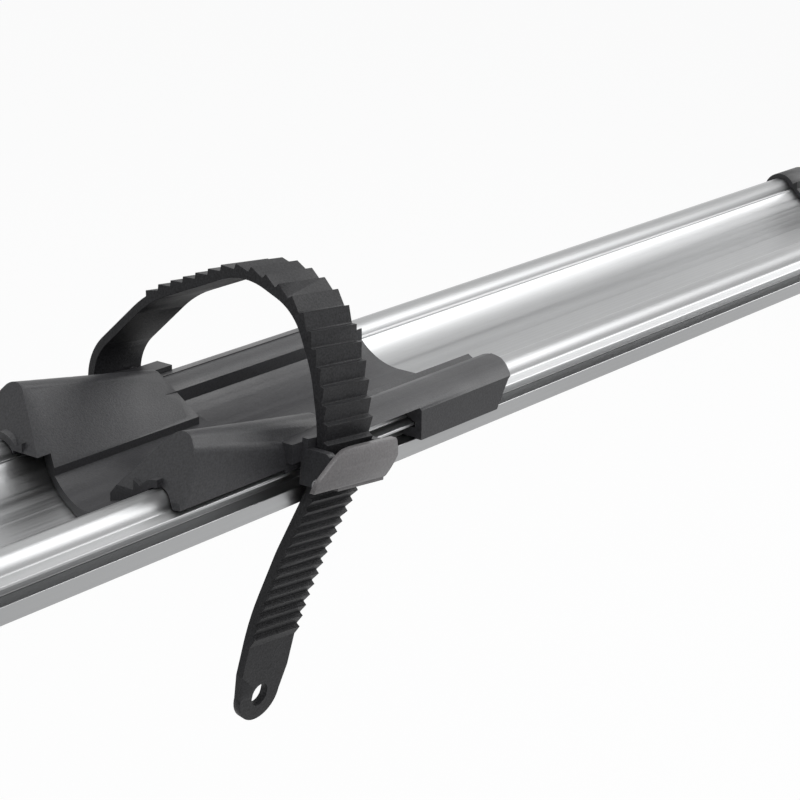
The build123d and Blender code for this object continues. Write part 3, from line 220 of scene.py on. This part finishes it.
class CameraPlace(bpy.types.PropertyGroup):
    """Where the camera stands and how it looks."""

    position: bpy.props.FloatVectorProperty(
        name="Position",
        description="Place of the camera from the middle of the tray's underside",
        subtype="TRANSLATION",
        unit="LENGTH",
        size=3,
        default=(-0.0034, -0.3683, 0.1951),
    )
    heading: bpy.props.FloatVectorProperty(
        name="Heading",
        description="Direction in which the camera looks",
        subtype="DIRECTION",
        size=3,
        default=(0.7430, 0.5905, -0.3151),
    )
    side: bpy.props.FloatVectorProperty(
        name="Side",
        description="Direction that runs to the right in the picture",
        subtype="DIRECTION",
        size=3,
        default=(0.6246, -0.7809, 0.0097),
    )
    lens: bpy.props.FloatProperty(
        name="Lens",
        description="Focal length in millimetres",
        default=102.2,
        min=1,
    )


def start_material(name):
    """A new material with one Principled shader, and the piece's own coordinates."""
    material = bpy.data.materials.new(name)
    material.use_nodes = True
    tree = material.node_tree
    tree.nodes.clear()
    output = tree.nodes.new("ShaderNodeOutputMaterial")
    shader = tree.nodes.new("ShaderNodeBsdfPrincipled")
    tree.links.new(shader.outputs["BSDF"], output.inputs["Surface"])
    place = tree.nodes.new("ShaderNodeTexCoord").outputs["Object"]
    return material, shader, place


def stretched(tree, place, scale):
    """Coordinates with their own scale along each axis."""
    mapping = tree.nodes.new("ShaderNodeMapping")
    mapping.inputs["Scale"].default_value = scale
    tree.links.new(place, mapping.inputs["Vector"])
    return mapping.outputs["Vector"]


def noise(tree, place, scale, detail=2.0):
    """Noise between zero and one."""
    texture = tree.nodes.new("ShaderNodeTexNoise")
    texture.inputs["Scale"].default_value = scale
    texture.inputs["Detail"].default_value = detail
    tree.links.new(place, texture.inputs["Vector"])
    return texture.outputs["Fac"]


def spread(tree, value, low, high):
    """A value that runs from low to high as the noise goes from dark to bright."""
    scaled = tree.nodes.new("ShaderNodeMapRange")
    scaled.inputs["From Min"].default_value = noise_low
    scaled.inputs["From Max"].default_value = noise_high
    scaled.inputs["To Min"].default_value = low
    scaled.inputs["To Max"].default_value = high
    tree.links.new(value, scaled.inputs["Value"])
    return scaled.outputs["Result"]


def shade(colour, factor):
    """The colour made darker or brighter."""
    return tuple(min(1.0, channel * factor) for channel in colour)


def tint(tree, value, colour, dark, bright):
    """The colour times a factor that runs from dark to bright with the noise."""
    mix = tree.nodes.new("ShaderNodeMix")
    mix.data_type = "RGBA"
    factor, first, second = (
        next(socket for socket in mix.inputs if socket.identifier == name)
        for name in ("Factor_Float", "A_Color", "B_Color")
    )
    first.default_value = (*shade(colour, dark), 1)
    second.default_value = (*shade(colour, bright), 1)
    tree.links.new(spread(tree, value, 0, 1), factor)
    return next(socket for socket in mix.outputs if socket.identifier == "Result_Color")


def raise_surface(tree, shader, height, strength, depth):
    """Bump from a height, depth in metres."""
    bump = tree.nodes.new("ShaderNodeBump")
    bump.inputs["Strength"].default_value = strength
    bump.inputs["Distance"].default_value = depth
    tree.links.new(height, bump.inputs["Height"])
    tree.links.new(bump.outputs["Normal"], shader.inputs["Normal"])


def extruded_aluminium(name, colour, streak, along):
    """Satin anodised metal with fine lines along one axis."""
    material, shader, place = start_material(name)
    tree = material.node_tree
    scale = [1 / streak, 1 / streak, 1 / streak]
    scale[along] = line_scale
    lines = noise(tree, stretched(tree, place, scale), scale=1.0, detail=3.0)
    clouds = noise(tree, place, cloud_scale)
    shader.inputs["Metallic"].default_value = 1.0
    base = tint(tree, clouds, colour, dark=0.94, bright=1.04)
    tree.links.new(base, shader.inputs["Base Color"])
    tree.links.new(spread(tree, lines, low=0.30, high=0.42), shader.inputs["Roughness"])
    raise_surface(tree, shader, lines, strength=0.18, depth=0.00004)
    return material


def grained_plastic(name, colour, grain, roughness, depth, painted_grain_light=1.2, shine=0.4):
    """Moulded plastic with a fine grain of some depth, its raised grains painted lighter and the
    hollows between them painted darker, as painted highlight and painted shade.
    """
    patchiness = 0.05
    material, shader, place = start_material(name)
    tree = material.node_tree
    fine = noise(tree, place, 1 / grain, detail=3.0)
    wide = noise(tree, place, patch_scale)
    shader.inputs["Specular IOR Level"].default_value = shine
    # Painted highlight on the raised grains and painted shade in the hollows: the colour follows
    # the grain's height.
    base = tint(tree, fine, colour, dark=1 / painted_grain_light, bright=painted_grain_light)
    tree.links.new(base, shader.inputs["Base Color"])
    patches = spread(tree, wide, roughness - patchiness, roughness + patchiness)
    tree.links.new(patches, shader.inputs["Roughness"])
    raise_surface(tree, shader, fine, strength=0.5, depth=depth)
    return material


def plated_steel(name, colour, roughness):
    """Zinc plated steel with faint clouds."""
    material, shader, place = start_material(name)
    tree = material.node_tree
    smoother = 0.06
    rougher = 0.08
    clouds = noise(tree, place, zinc_scale, detail=3.0)
    shader.inputs["Metallic"].default_value = 1.0
    base = tint(tree, clouds, colour, dark=0.85, bright=1.1)
    tree.links.new(base, shader.inputs["Base Color"])
    patches = spread(tree, clouds, roughness - smoother, roughness + rougher)
    tree.links.new(patches, shader.inputs["Roughness"])
    raise_surface(tree, shader, clouds, strength=0.1, depth=0.00005)
    return material


def coated(name, colour):
    """Powder coated metal with a slight orange peel."""
    material, shader, place = start_material(name)
    tree = material.node_tree
    peel = noise(tree, place, peel_scale)
    base = tint(tree, peel, colour, dark=0.9, bright=1.15)
    tree.links.new(base, shader.inputs["Base Color"])
    tree.links.new(spread(tree, peel, low=0.34, high=0.46), shader.inputs["Roughness"])
    raise_surface(tree, shader, peel, strength=0.35, depth=0.00012)
    return material


def dress(nodes, material):
    """Gives the frame's nodes one material."""
    for node in nodes:
        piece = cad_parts[node]
        piece.data.materials.clear()
        piece.data.materials.append(material)


def round_edges(nodes, width):
    """Rounds the sharp edges of the frame's nodes with a Weld and a Bevel modifier."""
    same_point = 0.000002
    sharp_angle = radians(30)
    for node in nodes:
        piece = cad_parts[node]
        weld = piece.modifiers.new("weld", "WELD")
        weld.merge_threshold = same_point
        bevel = piece.modifiers.new("bevel", "BEVEL")
        bevel.width = width
        bevel.segments = 2
        bevel.limit_method = "ANGLE"
        bevel.angle_limit = sharp_angle
        bevel.harden_normals = True


def shows_background(tree):
    """One for what sees the background directly, in metal or through glass, else zero."""
    rays = tree.nodes.new("ShaderNodeLightPath")
    seen = rays.outputs["Is Camera Ray"]
    for name in ("Is Glossy Ray", "Is Transmission Ray"):
        either = tree.nodes.new("ShaderNodeMath")
        either.operation = "MAXIMUM"
        tree.links.new(seen, either.inputs[0])
        tree.links.new(rays.outputs[name], either.inputs[1])
        seen = either.outputs["Value"]
    return seen


def matching(*endings):
    """The frame's nodes whose names end in one of the endings."""
    return [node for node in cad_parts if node.endswith(endings)]


class CARRIER_OT_camera(bpy.types.Operator):
    """Put the camera beside the rear wheel holder"""

    bl_idname = "carrier.camera"
    bl_label = "Camera"

    def execute(self, context):
        place = context.scene.carrier_camera
        data = bpy.data.cameras.new("camera")
        data.lens = place.lens
        data.sensor_width = 36.0
        data.clip_start = 0.01
        camera = bpy.data.objects.new("camera", data)
        context.scene.collection.objects.link(camera)
        heading = Vector(place.heading).normalized()
        side = Vector(place.side)
        side = (side - heading * side.dot(heading)).normalized()
        turn = Matrix((side, side.cross(heading), -heading)).transposed().to_4x4()
        camera.matrix_world = Matrix.Translation(place.position) @ turn
        context.scene.camera = camera
        return {"FINISHED"}


class CARRIER_OT_stage(bpy.types.Operator):
    """Lay the pale floor and hang the soft lamps"""

    bl_idname = "carrier.stage"
    bl_label = "Stage"

    def execute(self, context):
        sizes = context.scene.carrier_sizes
        colours = context.scene.carrier_colours
        light = context.scene.carrier_light
        mesh = bpy.data.meshes.new("floor")
        sheet = bmesh.new()
        bmesh.ops.create_grid(sheet, x_segments=1, y_segments=1, size=sizes.floor_reach / 2)
        bmesh.ops.translate(sheet, verts=sheet.verts, vec=(0, 0, -sizes.floor_drop))
        sheet.to_mesh(mesh)
        sheet.free()
        floor = bpy.data.objects.new("floor", mesh)
        context.scene.collection.objects.link(floor)

        material = bpy.data.materials.new("floor_white")
        material.use_nodes = True
        tree = material.node_tree
        tree.nodes.clear()
        output = tree.nodes.new("ShaderNodeOutputMaterial")
        paint = tree.nodes.new("ShaderNodeBsdfDiffuse")
        paint.inputs["Color"].default_value = (*shade(colours.floor, light.floor_paint), 1)
        glow = tree.nodes.new("ShaderNodeEmission")
        glow.inputs["Color"].default_value = (*colours.floor, 1)
        glow.inputs["Strength"].default_value = 1.0
        share = tree.nodes.new("ShaderNodeMath")
        share.operation = "MULTIPLY"
        share.inputs[1].default_value = light.floor_glow
        blend = tree.nodes.new("ShaderNodeMixShader")
        tree.links.new(shows_background(tree), share.inputs[0])
        tree.links.new(share.outputs["Value"], blend.inputs["Fac"])
        tree.links.new(paint.outputs["BSDF"], blend.inputs[1])
        tree.links.new(glow.outputs["Emission"], blend.inputs[2])
        tree.links.new(blend.outputs["Shader"], output.inputs["Surface"])
        mesh.materials.append(material)

        world = bpy.data.worlds.new("studio")
        context.scene.world = world
        world.use_nodes = True
        tree = world.node_tree
        tree.nodes.clear()
        output = tree.nodes.new("ShaderNodeOutputWorld")
        soft = tree.nodes.new("ShaderNodeBackground")
        soft.inputs["Color"].default_value = (*light.sky, 1)
        soft.inputs["Strength"].default_value = light.sky_strength
        white = tree.nodes.new("ShaderNodeBackground")
        white.inputs["Color"].default_value = (*colours.floor, 1)
        white.inputs["Strength"].default_value = 1.0
        blend = tree.nodes.new("ShaderNodeMixShader")
        tree.links.new(shows_background(tree), blend.inputs["Fac"])
        tree.links.new(soft.outputs["Background"], blend.inputs[1])
        tree.links.new(white.outputs["Background"], blend.inputs[2])
        tree.links.new(blend.outputs["Shader"], output.inputs["Surface"])

        for lamp in lamps:
            data = bpy.data.lights.new(lamp.name, "AREA")
            data.size = lamp.reach
            data.energy = lamp.power
            hung = bpy.data.objects.new(lamp.name, data)
            hung.location = lamp.place
            view = Vector(lamp.aim) - Vector(lamp.place)
            hung.rotation_euler = view.to_track_quat("-Z", "Y").to_euler()
            context.scene.collection.objects.link(hung)
        context.scene.view_settings.view_transform = "Standard"
        return {"FINISHED"}


class CARRIER_OT_tray(bpy.types.Operator):
    """Finish the tray and its two end caps"""

    bl_idname = "carrier.tray"
    bl_label = "Tray and end caps"

    def execute(self, context):
        colours = context.scene.carrier_colours
        sizes = context.scene.carrier_sizes
        dress(["tray"], extruded_aluminium("tray_metal", colours.tray_metal, sizes.streak, 0))
        round_edges(["tray"], sizes.metal_edge)
        round_edges(["end_cap_front", "end_cap_rear"], sizes.soft_edge)
        dress(
            ["end_cap_front", "end_cap_rear"],
            grained_plastic(
                "cap_plastic",
                colours.trim_plastic,
                sizes.grain,
                roughness=0.5,
                depth=0.00006,
            ),
        )
        return {"FINISHED"}


class CARRIER_OT_holders(bpy.types.Operator):
    """Finish the wheel holders with their anchor and buckle frames"""

    bl_idname = "carrier.holders"
    bl_label = "Wheel holders"

    def execute(self, context):
        colours = context.scene.carrier_colours
        sizes = context.scene.carrier_sizes
        dress(
            matching("_saddle", "_frame"),
            grained_plastic(
                "holder_plastic",
                colours.holder_plastic,
                sizes.grain,
                roughness=0.45,
                depth=0.00010,
                # Painted highlight on the raised grains and painted shade between them.
                painted_grain_light=1.5,
            ),
        )
        round_edges(matching("_saddle", "_frame"), sizes.soft_edge)
        return {"FINISHED"}


class CARRIER_OT_straps(bpy.types.Operator):
    """Finish the toothed straps"""

    bl_idname = "carrier.straps"
    bl_label = "Straps"

    def execute(self, context):
        colours = context.scene.carrier_colours
        sizes = context.scene.carrier_sizes
        dress(
            matching("_strap"),
            grained_plastic(
                "strap_plastic",
                colours.strap_plastic,
                sizes.grain,
                roughness=0.5,
                depth=0.00012,
                # Strong painted highlight on the raised grains and painted shade between them.
                painted_grain_light=2.2,
                shine=0.2,
            ),
        )
        round_edges(matching("_strap"), sizes.tooth_edge)
        return {"FINISHED"}


class CARRIER_OT_tabs(bpy.types.Operator):
    """Finish the buckle tabs"""

    bl_idname = "carrier.tabs"
    bl_label = "Buckle tabs"

    def execute(self, context):
        colours = context.scene.carrier_colours
        sizes = context.scene.carrier_sizes
        dress(
            matching("_tab"),
            grained_plastic(
                "tab_plastic",
                colours.tab_plastic,
                sizes.grain,
                roughness=0.33,
                depth=0.00002,
            ),
        )
        round_edges(matching("_tab"), sizes.soft_edge)
        return {"FINISHED"}


class CARRIER_OT_fasteners(bpy.types.Operator):
    """Finish the pins, screws, bolts and springs"""

    bl_idname = "carrier.fasteners"
    bl_label = "Fasteners"

    def execute(self, context):
        colours = context.scene.carrier_colours
        steel = plated_steel("plated_steel", colours.steel, 0.32)
        dress(
            matching(
                "_pin", "_screws", "_screw", "_nut", "_rivets", "_spring", "_housing", "_barrel"
            ),
            steel,
        )
        dress([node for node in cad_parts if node.startswith("clamp_bolt")], steel)
        return {"FINISHED"}


class CARRIER_OT_feet(bpy.types.Operator):
    """Finish the feet, their clips, pads, knobs and claws"""

    bl_idname = "carrier.feet"
    bl_label = "Feet and clamps"

    def execute(self, context):
        colours = context.scene.carrier_colours
        sizes = context.scene.carrier_sizes
        plastic = grained_plastic(
            "foot_plastic",
            colours.trim_plastic,
            sizes.grain,
            roughness=0.5,
            depth=0.00010,
        )
        dress(matching("_foot", "_clips"), plastic)
        round_edges(matching("_foot", "_clips"), sizes.soft_edge)
        dress([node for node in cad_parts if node.startswith("clamp_knob")], plastic)
        dress(
            matching("_pads"),
            grained_plastic(
                "pad_rubber",
                colours.soft_rubber,
                sizes.grain,
                roughness=0.75,
                depth=0.00010,
            ),
        )
        dress(
            [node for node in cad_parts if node.startswith("clamp_claw")],
            coated("claw_paint", colours.claw_paint),
        )
        round_edges(
            [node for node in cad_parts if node.startswith(("clamp_claw", "clamp_knob"))],
            sizes.soft_edge,
        )
        return {"FINISHED"}


class CARRIER_OT_arm(bpy.types.Operator):
    """Finish the arm with its bracket, jaws, knob and lock"""

    bl_idname = "carrier.arm"
    bl_label = "Arm"

    def execute(self, context):
        colours = context.scene.carrier_colours
        sizes = context.scene.carrier_sizes
        dress(["arm_tube"], extruded_aluminium("arm_metal", colours.tray_metal, sizes.streak, 2))
        dress(["arm_knuckle"], plated_steel("cast_metal", colours.tray_metal, 0.45))
        dress(
            ["arm_bracket", "head_body", "moving_jaw", "torque_knob"],
            grained_plastic(
                "arm_plastic",
                colours.trim_plastic,
                sizes.grain,
                roughness=0.45,
                depth=0.00008,
            ),
        )
        round_edges(
            ["arm_bracket", "arm_knuckle", "head_body", "moving_jaw", "torque_knob", "knob_cap"],
            sizes.soft_edge,
        )
        dress(
            ["fixed_pad", "moving_pad"],
            grained_plastic(
                "jaw_rubber",
                colours.soft_rubber,
                sizes.grain,
                roughness=0.75,
                depth=0.00012,
            ),
        )
        dress(
            ["arm_bushes", "knob_cap"],
            grained_plastic(
                "grey_plastic",
                shade(colours.tab_plastic, 4.0),
                sizes.grain,
                roughness=0.4,
                depth=0.00002,
            ),
        )
        return {"FINISHED"}


class CARRIER_PT_panel(bpy.types.Panel):
    """Lists the carrier's operators and settings."""

    bl_idname = "CARRIER_PT_panel"
    bl_label = "Bike Carrier"
    bl_space_type = "VIEW_3D"
    bl_region_type = "UI"
    bl_category = "Bike Carrier"

    def draw(self, context):
        layout = self.layout
        for operator in operators:
            layout.operator(operator.bl_idname)
        for setting, _ in settings:
            group = getattr(context.scene, setting)
            for name in group.__annotations__:
                layout.prop(group, name)


operators = (
    CARRIER_OT_camera,
    CARRIER_OT_stage,
    CARRIER_OT_tray,
    CARRIER_OT_holders,
    CARRIER_OT_straps,
    CARRIER_OT_tabs,
    CARRIER_OT_fasteners,
    CARRIER_OT_feet,
    CARRIER_OT_arm,
)
settings = (
    ("carrier_colours", CarrierColours),
    ("carrier_sizes", CarrierSizes),
    ("carrier_light", CarrierLight),
    ("carrier_camera", CameraPlace),
)


def register():
    for name, group in settings:
        bpy.utils.register_class(group)
        setattr(bpy.types.Scene, name, bpy.props.PointerProperty(type=group))
    for operator in operators:
        bpy.utils.register_class(operator)
    bpy.utils.register_class(CARRIER_PT_panel)


def unregister():
    bpy.utils.unregister_class(CARRIER_PT_panel)
    for operator in reversed(operators):
        bpy.utils.unregister_class(operator)
    for name, group in reversed(settings):
        delattr(bpy.types.Scene, name)
        bpy.utils.unregister_class(group)


def main():
    register()
    bpy.ops.carrier.camera()
    bpy.ops.carrier.stage()
    bpy.ops.carrier.tray()
    bpy.ops.carrier.holders()
    bpy.ops.carrier.straps()
    bpy.ops.carrier.tabs()
    bpy.ops.carrier.fasteners()
    bpy.ops.carrier.feet()
    bpy.ops.carrier.arm()


if __name__ == "__main__":
    main()
